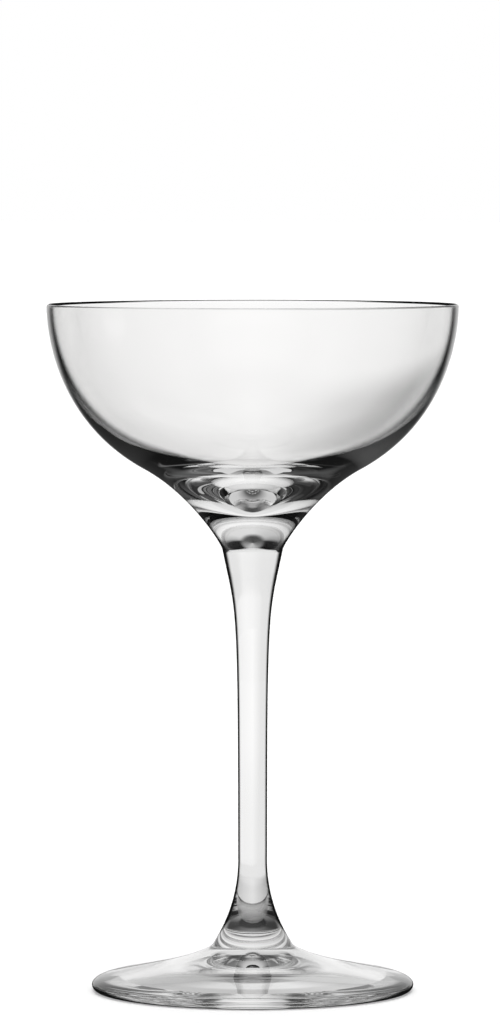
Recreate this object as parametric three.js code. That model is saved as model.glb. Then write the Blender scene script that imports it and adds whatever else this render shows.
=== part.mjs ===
import * as THREE from 'three';

// A clear coupe cocktail glass, in millimetres with +Z up.
// Three pieces of glass are fused end to end: a pressed foot, a drawn stem and a blown bowl.
// The origin is the centre of the ring that the foot stands on.

// Heights of the pieces, which stack on each other
const FOOT_HEIGHT = 10.5;
const STEM_LENGTH = 91.75;
const BOWL_HEIGHT = 56.5;

// Fused joints: the radius of each, and the angle of the outside from the vertical there
const FOOT_JOINT_RADIUS = 9.3;
const FOOT_JOINT_ANGLE = 33;
const BOWL_JOINT_RADIUS = 7;
const BOWL_JOINT_ANGLE = 11.4;

// Foot: a low cone with a rounded edge, standing on a flat ring round a hollow cone with a round peak
const FOOT_RADIUS = 37.2;
const FOOT_SLOPE = 12;
const FOOT_CONE_RADIUS = 24;
const FOOT_EDGE_TOP = 3.3;
const FOOT_EDGE_WIDEST = 1.35;
const FOOT_EDGE_ROUNDING = 2.9;
const FOOT_UNDERCUT = 1.5;
const REST_RING_WIDTH = 5.5;
const HOLLOW_SLOPE = 12.4;
const HOLLOW_DEPTH = 6.4;
const HOLLOW_PEAK_RADIUS = 4;
const FOOT_FILLET_START = 0.3;
const FOOT_FILLET_END = 11.7;

// Stem: slimmest at the waist, drawn out towards both joints
const WAIST_RADIUS = 3.35;
const WAIST_HEIGHT = 21.75;
const STEM_FLARE_START = 2.8;
const STEM_FLARE_END = 12;
const STEM_TAPER_START = 15.7;
const STEM_TAPER_END = 9.85;

// Outside of the bowl: a neck that flares to the shoulder, a round side and a thin lip
const RIM_RADIUS = 47.5;
const RIM_STRAIGHT = 4.2;
const SHOULDER_RADIUS = 25.1;
const SHOULDER_HEIGHT = 18.5;
const SHOULDER_ANGLE = 61.3;
const NECK_FLARE_START = 1;
const NECK_FLARE_END = 12.8;
const SIDE_FULLNESS = 0.95;

// Inside of the bowl: the wall thickens from the lip to the shoulder, where the floor begins to fall
// to a low point on the axis
const RIM_WALL = 0.9;
const SHOULDER_WALL = 2.76;
const BASE_THICKNESS = 11.3;
const INSIDE_FULLNESS = 0.93;
const FLOOR_ANGLE = 65.6;
const FLOOR_FULLNESS = 0.86;

// Facets: steps round the axis, and steps along each kind of curve
const TURN_STEPS = 48;
const LONG_STEPS = 14;
const MEDIUM_STEPS = 10;
const SHORT_STEPS = 4;

const GLASS_COLOUR = 0xf2f5f4;
const GLASS_ROUGHNESS = 0.02;

const point = (radius, height) => new THREE.Vector2(radius, height);

// The direction at an angle from the vertical, pointing out and up
function outAndUp(degrees) {
  const angle = THREE.MathUtils.degToRad(degrees);
  return point(Math.sin(angle), Math.cos(angle));
}

// The point at a distance from another along a direction
const along = (start, direction, distance) => start.clone().addScaledVector(direction, distance);

const bend = (start, leaving, arriving, end) => new THREE.CubicBezierCurve(start, leaving, arriving, end);

const straight = (start, end) => new THREE.LineCurve(start, end);

// An ellipse's arc about a centre, between two angles in radians
function arc(centre, radiusOut, radiusUp, from, to) {
  return new THREE.EllipseCurve(centre.x, centre.y, radiusOut, radiusUp, from, to, to < from);
}

// Joins runs of [curve, steps] that follow each other into one outline
function outline(runs) {
  const points = [runs[0][0].getPoint(0)];
  for (const [curve, steps] of runs) {
    points.push(...curve.getPoints(steps).slice(1));
  }
  return points;
}

// Turns an outline about the vertical axis, with its ends set exactly on the axis
function turned(name, runs) {
  const points = outline(runs);
  points[0].x = 0;
  points[points.length - 1].x = 0;
  const geometry = new THREE.LatheGeometry(points, TURN_STEPS).rotateX(Math.PI / 2);
  const material = new THREE.MeshStandardMaterial({
    color: GLASS_COLOUR,
    roughness: GLASS_ROUGHNESS,
    metalness: 0,
  });
  const mesh = new THREE.Mesh(geometry, material);
  mesh.name = name;
  return mesh;
}

function makeFoot() {
  const restOuter = point(FOOT_RADIUS - FOOT_UNDERCUT, 0);
  const restInner = point(restOuter.x - REST_RING_WIDTH, 0);
  const hollowRise = Math.tan(THREE.MathUtils.degToRad(HOLLOW_SLOPE));
  const peak = point(0, HOLLOW_DEPTH);
  const peakCorner = point(restInner.x - HOLLOW_DEPTH / hollowRise, HOLLOW_DEPTH);
  const peakEdge = point(HOLLOW_PEAK_RADIUS, (restInner.x - HOLLOW_PEAK_RADIUS) * hollowRise);
  const widest = point(FOOT_RADIUS, FOOT_EDGE_WIDEST);
  const edgeTop = point(FOOT_RADIUS - FOOT_EDGE_ROUNDING, FOOT_EDGE_TOP);
  const slope = THREE.MathUtils.degToRad(FOOT_SLOPE);
  const downCone = point(Math.cos(slope), -Math.sin(slope));
  const coneRise = (edgeTop.x - FOOT_CONE_RADIUS) * Math.tan(slope);
  const coneTop = point(FOOT_CONE_RADIUS, edgeTop.y + coneRise);
  const joint = point(FOOT_JOINT_RADIUS, FOOT_HEIGHT);
  const upJoint = outAndUp(-FOOT_JOINT_ANGLE);

  const undercutCentre = point(restOuter.x, widest.y);
  const edgeOut = along(edgeTop, downCone, FOOT_EDGE_ROUNDING / 2);
  const edgeDown = point(widest.x, (widest.y + edgeTop.y) / 2);
  const filletOut = along(coneTop, downCone, -FOOT_FILLET_END);
  const filletUp = along(joint, upJoint, -FOOT_FILLET_START);
  return turned('foot', [
    [bend(peak, peakCorner, peakCorner, peakEdge), SHORT_STEPS],
    [straight(peakEdge, restInner), 1],
    [straight(restInner, restOuter), 1],
    [arc(undercutCentre, FOOT_UNDERCUT, widest.y, -Math.PI / 2, 0), SHORT_STEPS],
    [bend(widest, edgeDown, edgeOut, edgeTop), SHORT_STEPS],
    [straight(edgeTop, coneTop), 1],
    [bend(coneTop, filletOut, filletUp, joint), MEDIUM_STEPS],
    [straight(joint, point(0, joint.y)), 1],
  ]);
}

function makeStem() {
  const bottom = point(FOOT_JOINT_RADIUS, 0);
  const waist = point(WAIST_RADIUS, WAIST_HEIGHT);
  const top = point(BOWL_JOINT_RADIUS, STEM_LENGTH);

  const flareStart = point(waist.x, waist.y - STEM_FLARE_START);
  const flareEnd = along(bottom, outAndUp(-FOOT_JOINT_ANGLE), STEM_FLARE_END);
  const taperStart = along(top, outAndUp(BOWL_JOINT_ANGLE), -STEM_TAPER_START);
  const taperEnd = point(waist.x, top.y - STEM_TAPER_END);
  return turned('stem', [
    [straight(point(0, 0), bottom), 1],
    [bend(bottom, flareEnd, flareStart, waist), MEDIUM_STEPS],
    [bend(waist, taperEnd, taperStart, top), LONG_STEPS],
    [straight(top, point(0, top.y)), 1],
  ]);
}

function makeBowl() {
  const joint = point(BOWL_JOINT_RADIUS, 0);
  const shoulder = point(SHOULDER_RADIUS, SHOULDER_HEIGHT);
  const lipRadius = RIM_WALL / 2;
  const lipCentre = point(RIM_RADIUS - lipRadius, BOWL_HEIGHT - lipRadius);
  const rimOuter = point(RIM_RADIUS, lipCentre.y);
  const rimInner = point(RIM_RADIUS - RIM_WALL, lipCentre.y);
  const floor = point(0, BASE_THICKNESS);

  const upShoulder = outAndUp(SHOULDER_ANGLE);
  const neckUp = along(joint, outAndUp(BOWL_JOINT_ANGLE), NECK_FLARE_START);
  const neckOut = along(shoulder, upShoulder, -NECK_FLARE_END);
  const sideReach = (SIDE_FULLNESS * (RIM_RADIUS - SHOULDER_RADIUS)) / upShoulder.x;
  const sideOut = along(shoulder, upShoulder, sideReach);
  const sideUp = point(rimOuter.x, rimOuter.y - RIM_STRAIGHT);

  const throughWall = point(-upShoulder.y, upShoulder.x);
  const floorEdge = along(shoulder, throughWall, SHOULDER_WALL);
  const upFloor = outAndUp(FLOOR_ANGLE);
  const insideReach = (INSIDE_FULLNESS * (rimInner.x - floorEdge.x)) / upFloor.x;
  const insideOut = along(floorEdge, upFloor, insideReach);
  const insideUp = point(rimInner.x, rimInner.y - RIM_STRAIGHT);
  const floorReach = (floorEdge.y - floor.y) / upFloor.y;
  const floorCorner = along(floorEdge, upFloor, -floorReach);
  const floorIn = along(floorEdge, upFloor, -FLOOR_FULLNESS * floorReach);
  const floorOut = point(FLOOR_FULLNESS * floorCorner.x, floor.y);
  return turned('bowl', [
    [straight(point(0, 0), joint), 1],
    [bend(joint, neckUp, neckOut, shoulder), MEDIUM_STEPS],
    [bend(shoulder, sideOut, sideUp, rimOuter), LONG_STEPS],
    [arc(lipCentre, lipRadius, lipRadius, 0, Math.PI), SHORT_STEPS],
    [bend(rimInner, insideUp, insideOut, floorEdge), LONG_STEPS],
    [bend(floorEdge, floorIn, floorOut, floor), MEDIUM_STEPS],
  ]);
}

const foot = makeFoot();
const stem = makeStem();
stem.position.z = FOOT_HEIGHT;
const bowl = makeBowl();
bowl.position.z = FOOT_HEIGHT + STEM_LENGTH;

const glass = new THREE.Group();
glass.add(foot, stem, bowl);

export default glass;
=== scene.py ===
import math
from collections import namedtuple

import bpy
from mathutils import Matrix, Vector


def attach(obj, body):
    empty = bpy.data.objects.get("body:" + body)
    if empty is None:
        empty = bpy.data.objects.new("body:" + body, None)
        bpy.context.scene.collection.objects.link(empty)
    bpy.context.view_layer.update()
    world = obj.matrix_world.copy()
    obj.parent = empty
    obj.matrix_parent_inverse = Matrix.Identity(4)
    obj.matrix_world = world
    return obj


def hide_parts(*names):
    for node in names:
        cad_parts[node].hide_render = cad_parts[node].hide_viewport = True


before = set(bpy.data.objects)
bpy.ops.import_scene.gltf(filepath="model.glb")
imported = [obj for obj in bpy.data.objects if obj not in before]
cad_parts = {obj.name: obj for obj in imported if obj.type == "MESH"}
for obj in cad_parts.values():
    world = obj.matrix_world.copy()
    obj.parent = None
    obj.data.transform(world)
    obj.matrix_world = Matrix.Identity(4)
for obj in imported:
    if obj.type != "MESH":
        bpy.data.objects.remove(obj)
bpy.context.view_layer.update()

# A clear coupe glass on a white floor, lit from behind, between two dark sides.
# Its three pieces have the outlines of the solids in finer steps, so that light bends in them smoothly.

MM = 0.001

# Heights of the pieces, in mm, which stack on each other
FOOT_HEIGHT = 10.5
STEM_LENGTH = 91.75
BOWL_HEIGHT = 56.5

# Fused joints: the radius of each, and the angle of the outside from the vertical there
FOOT_JOINT_RADIUS = 9.3
FOOT_JOINT_ANGLE = 33
BOWL_JOINT_RADIUS = 7
BOWL_JOINT_ANGLE = 11.4

# Foot: a low cone with a rounded edge, standing on a flat ring round a hollow cone with a round peak
FOOT_RADIUS = 37.2
FOOT_SLOPE = 12
FOOT_CONE_RADIUS = 24
FOOT_EDGE_TOP = 3.3
FOOT_EDGE_WIDEST = 1.35
FOOT_EDGE_ROUNDING = 2.9
FOOT_UNDERCUT = 1.5
REST_RING_WIDTH = 5.5
HOLLOW_SLOPE = 12.4
HOLLOW_DEPTH = 6.4
HOLLOW_PEAK_RADIUS = 4
FOOT_FILLET_START = 0.3
FOOT_FILLET_END = 11.7

# Stem: slimmest at the waist, drawn out towards both joints
WAIST_RADIUS = 3.35
WAIST_HEIGHT = 21.75
STEM_FLARE_START = 2.8
STEM_FLARE_END = 12
STEM_TAPER_START = 15.7
STEM_TAPER_END = 9.85

# Outside of the bowl: a neck that flares to the shoulder, a round side and a thin lip
RIM_RADIUS = 47.5
RIM_STRAIGHT = 4.2
SHOULDER_RADIUS = 25.1
SHOULDER_HEIGHT = 18.5
SHOULDER_ANGLE = 61.3
NECK_FLARE_START = 1
NECK_FLARE_END = 12.8
SIDE_FULLNESS = 0.95

# Inside of the bowl: the wall thickens from the lip to the shoulder, where the floor begins to fall
# to a low point on the axis
RIM_WALL = 0.9
SHOULDER_WALL = 2.76
BASE_THICKNESS = 11.3
INSIDE_FULLNESS = 0.93
FLOOR_ANGLE = 65.6
FLOOR_FULLNESS = 0.86

# Steps of the glass meshes: round the axis, and along each kind of curve
TURN_STEPS = 256
LONG_STEPS = 72
MEDIUM_STEPS = 48
SHORT_STEPS = 16

# Lengths, heights and distances are in metres from here on.

# Camera: a long lens a little above the rim, its place, its tilt in radians, and its lens and sensor in mm
CAMERA_PLACE = (-0.0006, -1.5, 0.19095)
CAMERA_TILT_DOWN = 0.0534
CAMERA_LENS = 228.87
CAMERA_SENSOR = 36
CAMERA_NEAREST = 0.05

# Glass: its faint warm tint, how far it bends light, and how strongly it mirrors
GLASS_TINT = (1, 0.998, 0.995, 1)
GLASS_IOR = 1.52
GLASS_SHINE = (0.6, 0.6, 0.6, 1)

# Waves in its surface: how close they lie, how many sizes are added, and how high they are
WAVE_SCALE = 90
WAVE_DETAIL = 1
WAVE_HEIGHT = 0.00002

# Painted shade on the glass's edges, which stands in for the dark surroundings that they show: how far the
# glass faces away, from 0 to 1, where its edges begin to darken, how far on they are dark, and their colour
SOLID = 0.42
LIP = 0.12
INSIDE = 0.74
INSIDE_FLOOR = 0.8
FOOT_RIM = 0.45
PLAIN = 1.0
DARKENING = 0.2
PAINTED_EDGE_SHADE = (0.01, 0.01, 0.01, 1)

# How far the bowl's inner wall faces away, seen from within the glass, where painted shade begins to darken
# it and is dark
WITHIN_WALL = (0.236, 0.247)

# How often light bounces in the foot and above it, and the heights between which one changes to the other
FOOT_BOUNCES = 12
BOWL_BOUNCES = 8
FOOT_TO_STEM = (0.012, 0.014)

# How often light may cross the fused seams
SEAM_CROSSINGS = 64

# A painted glow in the glass where rays end after their last bounce, standing in for the light still in it,
# brighter to the right on the bowl's wall: stops of (height, brightness) up to the bowl's base, the heights
# between which base changes to wall, and stops of (place to the right, brightness) there
PAINTED_GLOW_STOPS = (
    (0, 0.06), (0.01, 0.06), (0.013, 0.08), (0.03, 0.12), (0.045, 0.3), (0.07, 0.6), (0.106, 0.68))
BASE_TO_WALL = (0.106, 0.111)
PAINTED_WALL_GLOW_STOPS = ((-0.04, 0.04), (-0.024, 0.03), (-0.016, 0.005), (0.01, 0.005), (0.032, 0.18), (0.045, 0.22))

# Floor: its size, how far it lies below the ring that the foot stands on, its colour, and a light of its own
# that fills the shadow
FLOOR_SIZE = 40
FLOOR_GAP = 0.0001
FLOOR_COLOUR = (0.75, 0.75, 0.75, 1)
FLOOR_FILL = 0.3

WHITE = (1, 1, 1, 1)

# A wide lamp overhead: how wide it is seen, in degrees, and its strength
LAMP_WIDTH = 70
LAMP_STRENGTH = 2.9

# What is seen of the floor through the glass: painted light and shade on it, in zones by distance from the
# axis, with a painted shadow under the foot. Each has the distance where it begins, the distance where it is
# full, and stops of (degrees from behind, brightness).
FLOOR_ZONES = (
    # Painted shadow under the middle of the foot
    (0, 0, ((0, 0.03), (180, 0.05))),
    # Under the hollow: painted shadow, lighter in places
    (0.005, 0.007, (
        (0, 0.2), (20, 0.12), (35, 0.05), (60, 0.06), (80, 0.15), (105, 0.25), (140, 0.25), (180, 0.15))),
    (0.010, 0.013, (
        (0, 0.15), (30, 0.2), (42, 0.45), (60, 0.4), (75, 0.1),
        (110, 0.1), (120, 0.45), (135, 0.6), (150, 0.75), (180, 0.75))),
    (0.020, 0.024, (
        (0, 0.2), (30, 0.3), (42, 0.5), (60, 0.45), (75, 0.1),
        (110, 0.1), (120, 0.35), (135, 0.5), (180, 0.45))),
    # Painted shadow under the rest ring
    (0.032, 0.035, (
        (0, 0.05), (45, 0.08), (75, 0.06), (90, 0.03), (105, 0.02), (160, 0.02), (175, 0.3), (180, 0.3))),
    # Beside the foot
    (0.039, 0.042, (
        (0, 0.76), (30, 0.58), (45, 0.54), (75, 0.3), (90, 0.45),
        (105, 0.15), (135, 0.4), (160, 0.15), (172, 0.35), (180, 0.35))),
    (0.07, 0.09, (
        (0, 0.8), (30, 0.65), (45, 0.6), (75, 0.2), (90, 0.3),
        (105, 0.1), (135, 0.5), (155, 0.1), (165, 0.03), (180, 0.03))),
    # Out to the dark sides
    (0.16, 0.22, (
        (0, 0.92), (30, 0.82), (46, 0.8), (57, 0.3), (68, 0.08),
        (115, 0.05), (125, 0.4), (135, 0.8), (150, 0.6), (180, 0.7))),
    (0.32, 0.80, (
        (0, 1.0), (15, 0.92), (30, 0.86), (46, 0.82), (57, 0.12), (66, 0.06),
        (115, 0.06), (125, 0.5), (140, 0.8), (165, 0.9), (180, 0.95))),
)

# What is seen of the sky through the glass, in zones by the height of the direction, from 0 to 1 straight up
SKY_ZONES = (
    (0, 0, (
        (0, 0.95), (15, 0.92), (30, 0.84), (46, 0.76), (56, 0.1), (66, 0.03),
        (115, 0.02), (150, 0.1), (165, 0.4), (180, 0.5))),
    (0.10, 0.16, (
        (0, 0.88), (15, 0.86), (30, 0.7), (45, 0.5), (57, 0.08), (70, 0.02),
        (145, 0.01), (155, 0.3), (165, 0.7), (180, 0.75))),
    (0.23, 0.28, (
        (0, 0.8), (15, 0.7), (30, 0.5), (45, 0.36), (56, 0.2), (63, 0.02),
        (120, 0.01), (145, 0.12), (160, 0.55), (180, 0.72))),
    (0.60, 0.68, (
        (0, 0.72), (45, 0.62), (60, 0.4), (70, 0.0), (120, 0.0), (150, 0.1), (165, 0.25), (180, 0.37))),
    (0.93, 0.98, (
        (0, 0.04), (60, 0.08), (120, 0.3), (160, 0.5), (180, 0.5))),
)

# What the outside of the glass mirrors: the floor in zones, and the sky up to where it is as seen through
MIRRORED_STOPS = ((0, 1.0), (20, 0.8), (30, 0.03), (120, 0.05), (180, 0.3))
MIRRORED_ZONES = (
    (0, 0, MIRRORED_STOPS),
    (0.12, 0.20, ((0, 0.06), (180, 0.06))),
    (0.5, 1.5, MIRRORED_STOPS),
)
MIRRORED_HEIGHTS = (0.1, 0.2)

# What is seen straight through the glass is at least this bright, from these distances on. Nearer, the least
# is by stops of (degrees from behind, brightness).
CLEAR_BRIGHTNESS = 0.82
CLEAR_FROM = (0.04, 0.12)
CLEAR_NEAR_STOPS = ((0, 0.0), (62, 0.0), (72, 0.45), (113, 0.45), (123, 0.0), (180, 0.0))

# How much deeper than the walls that it crossed a ray counts where it ends, if nothing turned it in the glass
FLOOR_DEPTH = 0
SKY_DEPTH = 1

# The light is stronger by this share from the right, and weaker from the left
RIGHT_SHARE = 0.2

# A soft light on the right: its direction, its edge as cosines of the angle from it, and its brightness
SIDE_LIGHT = (0.988, 0, 0.156)
SIDE_LIGHT_EDGE = (0.985, 0.992)
SIDE_LIGHT_BRIGHTNESS = 0.55

# Painted shade on the floor, behind on the right, shown only where it is seen through more than one wall, so
# that the
# bowl looks darker towards the right: its direction, its edge as cosines of the angle from it, the distances
# over which it begins and ends, the share of light that it leaves, and the number of surfaces crossed over
# which it begins to show
PAINTED_SHADE_DIRECTION = (0.276, 0.961, 0)
PAINTED_SHADE_EDGE = (0.961, 0.9945)
PAINTED_SHADE_NEAR = (0.16, 0.28)
PAINTED_SHADE_FAR = (0.9, 1.8)
PAINTED_SHADE_SHARE = 0.45
PAINTED_SHADE_SURFACES = (2, 3)

# A stretch of an outline: its points, and at equal parts along it where the painted shade on its edge begins
# and how much of it is the bowl's inner wall
Run = namedtuple("Run", "points darkens_from inner_wall", defaults=((PLAIN, PLAIN), (0, 0)))


def point(radius, height):
    return Vector((radius, height))


def out_and_up(degrees):
    """The direction at an angle from the vertical, pointing out and up."""
    angle = math.radians(degrees)
    return point(math.sin(angle), math.cos(angle))


def straight(start, end):
    return [start, end]


def bend(start, leaving, arriving, end, steps):
    """Points along a cubic curve with two handles."""
    points = []
    for i in range(steps + 1):
        t = i / steps
        s = 1 - t
        points.append(s**3 * start + 3 * s * s * t * leaving + 3 * s * t * t * arriving + t**3 * end)
    return points


def arc(centre, radius_out, radius_up, start, end, steps):
    """Points along an ellipse's arc about a centre, between two angles in radians."""
    angles = [start + (end - start) * i / steps for i in range(steps + 1)]
    return [centre + point(radius_out * math.cos(a), radius_up * math.sin(a)) for a in angles]


def foot_outline():
    rest_outer = point(FOOT_RADIUS - FOOT_UNDERCUT, 0)
    rest_inner = point(rest_outer.x - REST_RING_WIDTH, 0)
    hollow_rise = math.tan(math.radians(HOLLOW_SLOPE))
    peak = point(0, HOLLOW_DEPTH)
    peak_corner = point(rest_inner.x - HOLLOW_DEPTH / hollow_rise, HOLLOW_DEPTH)
    peak_edge = point(HOLLOW_PEAK_RADIUS, (rest_inner.x - HOLLOW_PEAK_RADIUS) * hollow_rise)
    widest = point(FOOT_RADIUS, FOOT_EDGE_WIDEST)
    edge_top = point(FOOT_RADIUS - FOOT_EDGE_ROUNDING, FOOT_EDGE_TOP)
    slope = math.radians(FOOT_SLOPE)
    down_cone = point(math.cos(slope), -math.sin(slope))
    cone_rise = (edge_top.x - FOOT_CONE_RADIUS) * math.tan(slope)
    cone_top = point(FOOT_CONE_RADIUS, edge_top.y + cone_rise)
    joint = point(FOOT_JOINT_RADIUS, FOOT_HEIGHT)

    undercut_centre = point(rest_outer.x, widest.y)
    edge_out = edge_top + down_cone * (FOOT_EDGE_ROUNDING / 2)
    edge_down = point(widest.x, (widest.y + edge_top.y) / 2)
    fillet_out = cone_top - down_cone * FOOT_FILLET_END
    fillet_up = joint - out_and_up(-FOOT_JOINT_ANGLE) * FOOT_FILLET_START
    undercut = arc(undercut_centre, FOOT_UNDERCUT, widest.y, -math.pi / 2, 0, SHORT_STEPS)
    return [
        Run(bend(peak, peak_corner, peak_corner, peak_edge, SHORT_STEPS)),
        Run(straight(peak_edge, rest_inner)),
        Run(straight(rest_inner, rest_outer)),
        Run(undercut, (FOOT_RIM, FOOT_RIM)),
        Run(bend(widest, edge_down, edge_out, edge_top, SHORT_STEPS)),
        Run(straight(edge_top, cone_top)),
        Run(bend(cone_top, fillet_out, fillet_up, joint, MEDIUM_STEPS)),
        Run(straight(joint, point(0, joint.y))),
    ]


def stem_outline():
    bottom = point(FOOT_JOINT_RADIUS, FOOT_HEIGHT)
    waist = point(WAIST_RADIUS, FOOT_HEIGHT + WAIST_HEIGHT)
    top = point(BOWL_JOINT_RADIUS, FOOT_HEIGHT + STEM_LENGTH)

    flare_start = point(waist.x, waist.y - STEM_FLARE_START)
    flare_end = bottom + out_and_up(-FOOT_JOINT_ANGLE) * STEM_FLARE_END
    taper_start = top - out_and_up(BOWL_JOINT_ANGLE) * STEM_TAPER_START
    taper_end = point(waist.x, top.y - STEM_TAPER_END)
    flare = bend(bottom, flare_end, flare_start, waist, MEDIUM_STEPS)
    return [
        Run(straight(point(0, bottom.y), bottom)),
        Run(flare, (PLAIN, SOLID, SOLID, SOLID, SOLID, SOLID)),
        Run(bend(waist, taper_end, taper_start, top, LONG_STEPS), (SOLID, SOLID)),
        Run(straight(top, point(0, top.y)), (SOLID, PLAIN)),
    ]


def bowl_outline():
    base = FOOT_HEIGHT + STEM_LENGTH
    joint = point(BOWL_JOINT_RADIUS, base)
    shoulder = point(SHOULDER_RADIUS, base + SHOULDER_HEIGHT)
    lip_radius = RIM_WALL / 2
    lip_centre = point(RIM_RADIUS - lip_radius, base + BOWL_HEIGHT - lip_radius)
    rim_outer = point(RIM_RADIUS, lip_centre.y)
    rim_inner = point(RIM_RADIUS - RIM_WALL, lip_centre.y)
    floor = point(0, base + BASE_THICKNESS)

    up_shoulder = out_and_up(SHOULDER_ANGLE)
    neck_up = joint + out_and_up(BOWL_JOINT_ANGLE) * NECK_FLARE_START
    neck_out = shoulder - up_shoulder * NECK_FLARE_END
    side_reach = SIDE_FULLNESS * (RIM_RADIUS - SHOULDER_RADIUS) / up_shoulder.x
    side_out = shoulder + up_shoulder * side_reach
    side_up = point(rim_outer.x, rim_outer.y - RIM_STRAIGHT)

    through_wall = point(-up_shoulder.y, up_shoulder.x)
    floor_edge = shoulder + through_wall * SHOULDER_WALL
    up_floor = out_and_up(FLOOR_ANGLE)
    inside_reach = INSIDE_FULLNESS * (rim_inner.x - floor_edge.x) / up_floor.x
    inside_out = floor_edge + up_floor * inside_reach
    inside_up = point(rim_inner.x, rim_inner.y - RIM_STRAIGHT)
    floor_reach = (floor_edge.y - floor.y) / up_floor.y
    floor_corner = floor_edge - up_floor * floor_reach
    floor_in = floor_edge - up_floor * (FLOOR_FULLNESS * floor_reach)
    floor_out = point(FLOOR_FULLNESS * floor_corner.x, floor.y)
    return [
        Run(straight(point(0, joint.y), joint), (PLAIN, SOLID)),
        Run(bend(joint, neck_up, neck_out, shoulder, MEDIUM_STEPS), (SOLID, PLAIN)),
        Run(bend(shoulder, side_out, side_up, rim_outer, LONG_STEPS)),
        Run(arc(lip_centre, lip_radius, lip_radius, 0, math.pi / 2, SHORT_STEPS)),
        Run(arc(lip_centre, lip_radius, lip_radius, math.pi / 2, math.pi, SHORT_STEPS), (LIP, LIP)),
        Run(bend(rim_inner, inside_up, inside_out, floor_edge, LONG_STEPS), (INSIDE, INSIDE), (1, 1, 0)),
        Run(bend(floor_edge, floor_in, floor_out, floor, MEDIUM_STEPS), (INSIDE, INSIDE_FLOOR)),
    ]


def spread(values, steps):
    """A value at each step of a run after its start, from values at equal parts along it."""
    result = []
    parts = len(values) - 1
    for i in range(1, steps + 1):
        part = min(i * parts // steps, parts - 1)
        share = i * parts / steps - part
        result.append(values[part] + (values[part + 1] - values[part]) * share)
    return result


def joined(runs):
    """The outline of runs that follow each other, and their two values at each of its points."""
    outline = [runs[0].points[0]]
    darkens_from = [runs[0].darkens_from[0]]
    inner_wall = [runs[0].inner_wall[0]]
    for run in runs:
        steps = len(run.points) - 1
        outline += run.points[1:]
        darkens_from += spread(run.darkens_from, steps)
        inner_wall += spread(run.inner_wall, steps)
    return outline, darkens_from, inner_wall


def corners_of(runs):
    """The numbers of the outline's points where a straight run begins or ends."""
    corners = set()
    end = 0
    for run in runs:
        start = end
        end += len(run.points) - 1
        if end - start == 1:
            corners |= {start, end}
    return corners


def turned_vertices(outline):
    """The outline's two ends, on the axis, and between them a ring of vertices for each of its points."""
    vertices = [(0, 0, outline[0].y * MM)]
    for p in outline[1:-1]:
        for step in range(TURN_STEPS):
            angle = 2 * math.pi * step / TURN_STEPS
            vertices.append((p.x * MM * math.cos(angle), p.x * MM * math.sin(angle), p.y * MM))
    vertices.append((0, 0, outline[-1].y * MM))
    return vertices


def first_vertex(number):
    """The first vertex of the ring of an outline's point, by the point's number from 1 on."""
    return 1 + (number - 1) * TURN_STEPS


def point_number(vertex):
    """The number of the outline's point that a vertex belongs to."""
    return (vertex - 1) // TURN_STEPS + 1


def turned_faces(last):
    """The faces round the axis between each two points of an outline, up to its last point's number."""
    faces = []
    for number in range(last):
        here = first_vertex(number)
        there = first_vertex(number + 1)
        for step in range(TURN_STEPS):
            after = (step + 1) % TURN_STEPS
            if number == 0:
                faces.append((0, there + after, there + step))
            elif number == last - 1:
                faces.append((here + step, here + after, there))
            else:
                faces.append((here + step, here + after, there + after, there + step))
    return faces


def store(mesh, name, along_outline):
    """Keeps a value at each vertex, the same all round the axis."""
    values = [along_outline[point_number(vertex)] for vertex in range(len(mesh.vertices))]
    mesh.attributes.new(name, "FLOAT", "POINT").data.foreach_set("value", values)


def mark_corners(mesh, corners):
    """Makes the edges round the axis sharp at an outline's corners."""
    for edge in mesh.edges:
        numbers = {point_number(vertex) for vertex in edge.vertices}
        edge.use_edge_sharp = len(numbers) == 1 and numbers <= corners


def turned(name, runs, seam_heights, materials):
    """Turns an outline about the vertical axis into a closed mesh whose ends are on the axis.

    Its flat faces at the seam heights, where it is fused to its neighbours, take the second material.
    """
    outline, darkens_from, inner_wall = joined(runs)
    mesh = bpy.data.meshes.new(name)
    mesh.from_pydata(turned_vertices(outline), [], turned_faces(len(outline) - 1))
    for material in materials:
        mesh.materials.append(material)
    seams = []
    for start, end in zip(outline, outline[1:]):
        is_seam = start.y == end.y and start.y in seam_heights
        seams += [int(is_seam)] * TURN_STEPS
    mesh.polygons.foreach_set("material_index", seams)
    mesh.polygons.foreach_set("use_smooth", [True] * len(seams))
    mark_corners(mesh, corners_of(runs))
    store(mesh, "darkens_from", darkens_from)
    store(mesh, "inner_wall", inner_wall)
    mesh.update()
    piece = bpy.data.objects.new(name, mesh)
    bpy.context.scene.collection.objects.link(piece)
    return piece


def new_material(name):
    material = bpy.data.materials.new(name)
    material.use_nodes = True
    material.node_tree.nodes.clear()
    return material


def add_node(tree, kind, inputs=None, **settings):
    """Adds a node with settings, and links or sets its inputs, given by name or number."""
    node = tree.nodes.new(kind)
    for name, value in settings.items():
        setattr(node, name, value)
    for key, value in (inputs or {}).items():
        if isinstance(value, bpy.types.NodeSocket):
            tree.links.new(value, node.inputs[key])
        else:
            node.inputs[key].default_value = value
    return node


def light_path(tree):
    return add_node(tree, "ShaderNodeLightPath").outputs


def calculate(tree, operation, *values):
    return add_node(tree, "ShaderNodeMath", dict(enumerate(values)), operation=operation).outputs["Value"]


def vector_node(tree, operation, *values):
    return add_node(tree, "ShaderNodeVectorMath", dict(enumerate(values)), operation=operation).outputs


def attribute(tree, name):
    return add_node(tree, "ShaderNodeAttribute", attribute_name=name).outputs["Fac"]


def mix(tree, share, before, after):
    inputs = {"Factor": share, "A": before, "B": after}
    return add_node(tree, "ShaderNodeMix", inputs, data_type="FLOAT").outputs["Result"]


def mix_shaders(tree, share, before, after):
    return add_node(tree, "ShaderNodeMixShader", {0: share, 1: before, 2: after}).outputs["Shader"]


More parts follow.
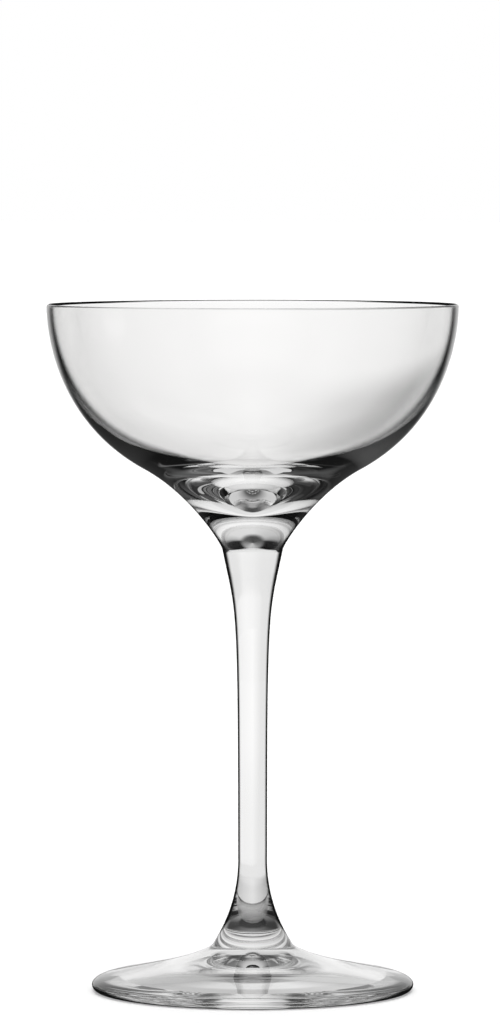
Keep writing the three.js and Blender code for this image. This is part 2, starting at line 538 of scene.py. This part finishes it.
def grow(tree, value, start, end, most=1):
    """Grows smoothly from 0 to the most while a value runs from start to end."""
    inputs = {"Value": value, "From Min": start, "From Max": end, "To Max": most}
    return add_node(tree, "ShaderNodeMapRange", inputs, interpolation_type="SMOOTHSTEP").outputs["Result"]


def fade(tree, value, start, end, before, after):
    """Goes smoothly from one brightness to another while a value runs from start to end."""
    return mix(tree, grow(tree, value, start, end), before, after)


def ramp(tree, value, stops):
    """Goes from brightness to brightness along stops of (value, brightness)."""
    first = stops[0][0]
    last = stops[-1][0]
    share = add_node(tree, "ShaderNodeMapRange", {"Value": value, "From Min": first, "From Max": last})
    colours = add_node(tree, "ShaderNodeValToRGB", {"Fac": share.outputs["Result"]})
    elements = colours.color_ramp.elements
    elements.remove(elements[1])
    for i, (place, brightness) in enumerate(stops):
        position = (place - first) / (last - first)
        element = elements.new(position) if i else elements[0]
        element.position = position
        element.color = (brightness, brightness, brightness, 1)
    return colours.outputs["Color"]


def painted_edge_shade(tree):
    """How much painted shade the glass gets where it turns away, from 0 to 1, from outside and from within.
    """
    facing = add_node(tree, "ShaderNodeLayerWeight").outputs["Facing"]
    start = attribute(tree, "darkens_from")
    outer = grow(tree, facing, start, calculate(tree, "ADD", start, DARKENING))
    inner = grow(tree, facing, *WITHIN_WALL, attribute(tree, "inner_wall"))
    from_within = add_node(tree, "ShaderNodeNewGeometry").outputs["Backfacing"]
    return mix(tree, from_within, outer, inner)


def slight_waves(tree):
    """The normal of a surface that waves very slightly, as drawn and blown glass does."""
    place = add_node(tree, "ShaderNodeTexCoord").outputs["Object"]
    pattern = {"Vector": place, "Scale": WAVE_SCALE, "Detail": WAVE_DETAIL}
    noise = add_node(tree, "ShaderNodeTexNoise", pattern).outputs["Fac"]
    waves = {"Height": noise, "Strength": 1, "Distance": WAVE_HEIGHT}
    return add_node(tree, "ShaderNodeBump", waves).outputs["Normal"]


def shows_painted_glow(tree, height):
    """Whether light has made its last bounce in the glass, where the painted glow takes its place; its depth
    counts in whole numbers.
    """
    limit = fade(tree, height, *FOOT_TO_STEM, FOOT_BOUNCES - 0.5, BOWL_BOUNCES - 0.5)
    return calculate(tree, "GREATER_THAN", light_path(tree)["Ray Depth"], limit)


def painted_trapped_glow(tree, to_the_right, height):
    """Paints a glow, as emission, for the light still in the glass after its last bounce, brighter to the
    right on the bowl's wall.
    """
    base = ramp(tree, height, PAINTED_GLOW_STOPS)
    wall = ramp(tree, to_the_right, PAINTED_WALL_GLOW_STOPS)
    light = fade(tree, height, *BASE_TO_WALL, base, wall)
    return add_node(tree, "ShaderNodeEmission", {"Strength": light}).outputs["Emission"]


def clear_glass():
    """Clear fire-polished glass with painted shade on its edges where they turn away, and a painted glow
    where rays end in it.
    """
    material = new_material("clear_glass")
    tree = material.node_tree
    glass = add_node(tree, "ShaderNodeBsdfPrincipled", {
        "Base Color": GLASS_TINT,
        "Roughness": 0,
        "IOR": GLASS_IOR,
        "Transmission Weight": 1,
        "Specular Tint": GLASS_SHINE,
        "Normal": slight_waves(tree),
    })
    # Painted shade: a near-black diffuse mixed in where the edges turn away
    dark = add_node(tree, "ShaderNodeBsdfDiffuse", {"Color": PAINTED_EDGE_SHADE})
    with_painted_edges = mix_shaders(tree, painted_edge_shade(tree), glass.outputs["BSDF"], dark.outputs["BSDF"])
    position = add_node(tree, "ShaderNodeNewGeometry").outputs["Position"]
    place = add_node(tree, "ShaderNodeSeparateXYZ", {"Vector": position}).outputs
    # Painted glow where rays end in the glass, brighter to the right on the bowl's wall
    painted_glow = painted_trapped_glow(tree, place["X"], place["Z"])
    whole = mix_shaders(tree, shows_painted_glow(tree, place["Z"]), with_painted_edges, painted_glow)
    add_node(tree, "ShaderNodeOutputMaterial", {"Surface": whole})
    return material


def fused_seam():
    """The seam between two fused pieces, where light goes straight on."""
    material = new_material("fused_seam")
    tree = material.node_tree
    clear = add_node(tree, "ShaderNodeBsdfTransparent")
    add_node(tree, "ShaderNodeOutputMaterial", {"Surface": clear.outputs["BSDF"]})
    return material


def bearing(tree, direction):
    """Where a direction points, seen from above: its degrees from behind, and how far to the right it is."""
    flat = vector_node(tree, "MULTIPLY", direction, (1, 1, 0))["Vector"]
    unit = vector_node(tree, "NORMALIZE", flat)["Vector"]
    parts = add_node(tree, "ShaderNodeSeparateXYZ", {"Vector": unit}).outputs
    degrees = calculate(tree, "DEGREES", calculate(tree, "ARCCOSINE", parts["Y"]))
    return degrees, parts["X"]


def ring_of_light(tree, stops, towards):
    """The brightness at a bearing, from stops of (degrees from behind, brightness)."""
    degrees, to_the_right = towards
    uneven = calculate(tree, "MULTIPLY_ADD", to_the_right, RIGHT_SHARE, 1)
    return calculate(tree, "MULTIPLY", ramp(tree, degrees, stops), uneven)


def lit_zones(tree, zones, value, towards):
    """The brightness over zones that follow each other as a value grows."""
    glow = None
    for start, full, stops in zones:
        light = ring_of_light(tree, stops, towards)
        glow = light if glow is None else fade(tree, value, start, full, glow, light)
    return glow


def through_or_mirrored(tree, through, mirrored):
    """One brightness for what is seen through the glass, and another for what its outside mirrors."""
    return mix(tree, light_path(tree)["Is Transmission Ray"], mirrored, through)


def straight_through(tree, through, least, depth):
    """Gives what is seen through the glass with no turn inside it at least a brightness."""
    path = light_path(tree)
    turns = calculate(tree, "SUBTRACT", path["Ray Depth"], path["Transmission Depth"])
    bright = calculate(tree, "MAXIMUM", through, least)
    return fade(tree, turns, depth, depth + 1, bright, through)


def painted_shade_right(tree, light, place, distance):
    """Paints shade on the floor behind on the right, where it is seen through more than one wall."""
    unit = vector_node(tree, "NORMALIZE", place)["Vector"]
    towards = vector_node(tree, "DOT_PRODUCT", unit, PAINTED_SHADE_DIRECTION)["Value"]
    shaded = calculate(tree, "MULTIPLY", light, PAINTED_SHADE_SHARE)
    with_shade = fade(tree, towards, *PAINTED_SHADE_EDGE, light, shaded)
    with_shade = fade(tree, distance, *PAINTED_SHADE_NEAR, light, with_shade)
    with_shade = fade(tree, distance, *PAINTED_SHADE_FAR, with_shade, light)
    return fade(tree, light_path(tree)["Transmission Depth"], *PAINTED_SHADE_SURFACES, light, with_shade)


def floor_in_glass(tree):
    """The brightness of the floor as the glass shows it."""
    place = add_node(tree, "ShaderNodeNewGeometry").outputs["Position"]
    distance = vector_node(tree, "LENGTH", place)["Value"]
    towards = bearing(tree, place)
    near = ring_of_light(tree, CLEAR_NEAR_STOPS, towards)
    least = fade(tree, distance, *CLEAR_FROM, near, CLEAR_BRIGHTNESS)
    through = lit_zones(tree, FLOOR_ZONES, distance, towards)
    through = straight_through(tree, through, least, FLOOR_DEPTH)
    # Painted shade behind on the right, seen only through more than one wall
    through = painted_shade_right(tree, through, place, distance)
    mirrored = lit_zones(tree, MIRRORED_ZONES, distance, towards)
    return through_or_mirrored(tree, through, mirrored)


def sky_in_glass(tree):
    """The brightness of the sky as the glass shows it."""
    direction = add_node(tree, "ShaderNodeTexCoord").outputs["Generated"]
    height = add_node(tree, "ShaderNodeSeparateXYZ", {"Vector": direction}).outputs["Z"]
    towards = bearing(tree, direction)
    through = lit_zones(tree, SKY_ZONES, height, towards)
    through = straight_through(tree, through, CLEAR_BRIGHTNESS, SKY_DEPTH)
    towards_light = vector_node(tree, "DOT_PRODUCT", direction, SIDE_LIGHT)["Value"]
    through = fade(tree, towards_light, *SIDE_LIGHT_EDGE, through, SIDE_LIGHT_BRIGHTNESS)
    low = ring_of_light(tree, MIRRORED_STOPS, towards)
    mirrored = fade(tree, height, *MIRRORED_HEIGHTS, low, through)
    return through_or_mirrored(tree, through, mirrored)


def white_floor():
    """White with a soft shadow to the eye, and zones of light in the glass."""
    material = new_material("white_floor")
    tree = material.node_tree
    diffuse = add_node(tree, "ShaderNodeBsdfDiffuse", {"Color": FLOOR_COLOUR})
    fill = add_node(tree, "ShaderNodeEmission", {"Strength": FLOOR_FILL})
    own = add_node(tree, "ShaderNodeAddShader", {0: diffuse.outputs["BSDF"], 1: fill.outputs["Emission"]})
    zones = add_node(tree, "ShaderNodeEmission", {"Strength": floor_in_glass(tree)})
    path = light_path(tree)
    in_glass = calculate(tree, "MAXIMUM", path["Is Glossy Ray"], path["Is Transmission Ray"])
    whole = mix_shaders(tree, in_glass, own.outputs["Shader"], zones.outputs["Emission"])
    add_node(tree, "ShaderNodeOutputMaterial", {"Surface": whole})
    return material


def add_floor():
    bpy.ops.mesh.primitive_plane_add(size=FLOOR_SIZE)
    floor = bpy.context.object
    floor.name = "floor"
    floor.location.z = -FLOOR_GAP
    floor.data.materials.append(white_floor())


def set_world():
    """White to the eye, and zones of light in the glass."""
    world = bpy.data.worlds.new("studio")
    world.use_nodes = True
    tree = world.node_tree
    tree.nodes.clear()
    white = add_node(tree, "ShaderNodeBackground", {"Color": WHITE, "Strength": 1})
    zones = add_node(tree, "ShaderNodeBackground", {"Color": WHITE, "Strength": sky_in_glass(tree)})
    to_the_eye = light_path(tree)["Is Camera Ray"]
    whole = mix_shaders(tree, to_the_eye, zones.outputs["Background"], white.outputs["Background"])
    add_node(tree, "ShaderNodeOutputWorld", {"Surface": whole})
    bpy.context.scene.world = world


def add_lamp():
    """A wide lamp that gives the soft shadow, and that the glass doesn't show."""
    data = bpy.data.lights.new("overhead", "SUN")
    data.angle = math.radians(LAMP_WIDTH)
    data.energy = LAMP_STRENGTH
    lamp = bpy.data.objects.new("overhead", data)
    lamp.visible_transmission = False
    lamp.visible_glossy = False
    bpy.context.scene.collection.objects.link(lamp)


def add_camera():
    data = bpy.data.cameras.new("camera")
    data.lens = CAMERA_LENS
    data.sensor_width = CAMERA_SENSOR
    data.clip_start = CAMERA_NEAREST
    camera = bpy.data.objects.new("camera", data)
    camera.location = CAMERA_PLACE
    camera.rotation_euler = (math.pi / 2 - CAMERA_TILT_DOWN, 0, 0)
    bpy.context.scene.collection.objects.link(camera)
    bpy.context.scene.camera = camera


def set_bounces(cycles):
    cycles.max_bounces = FOOT_BOUNCES
    cycles.transmission_bounces = FOOT_BOUNCES
    cycles.glossy_bounces = FOOT_BOUNCES
    cycles.transparent_max_bounces = SEAM_CROSSINGS


add_camera()
seam_heights = (FOOT_HEIGHT, FOOT_HEIGHT + STEM_LENGTH)
materials = (clear_glass(), fused_seam())
for node, outline in (("foot", foot_outline()), ("stem", stem_outline()), ("bowl", bowl_outline())):
    piece = turned(node + "_glass", outline, seam_heights, materials)
    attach(piece, "root")
    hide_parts(node)

add_floor()
set_world()
add_lamp()
set_bounces(bpy.context.scene.cycles)
bpy.context.scene.view_settings.view_transform = "Standard"

bpy.context.view_layer.update()
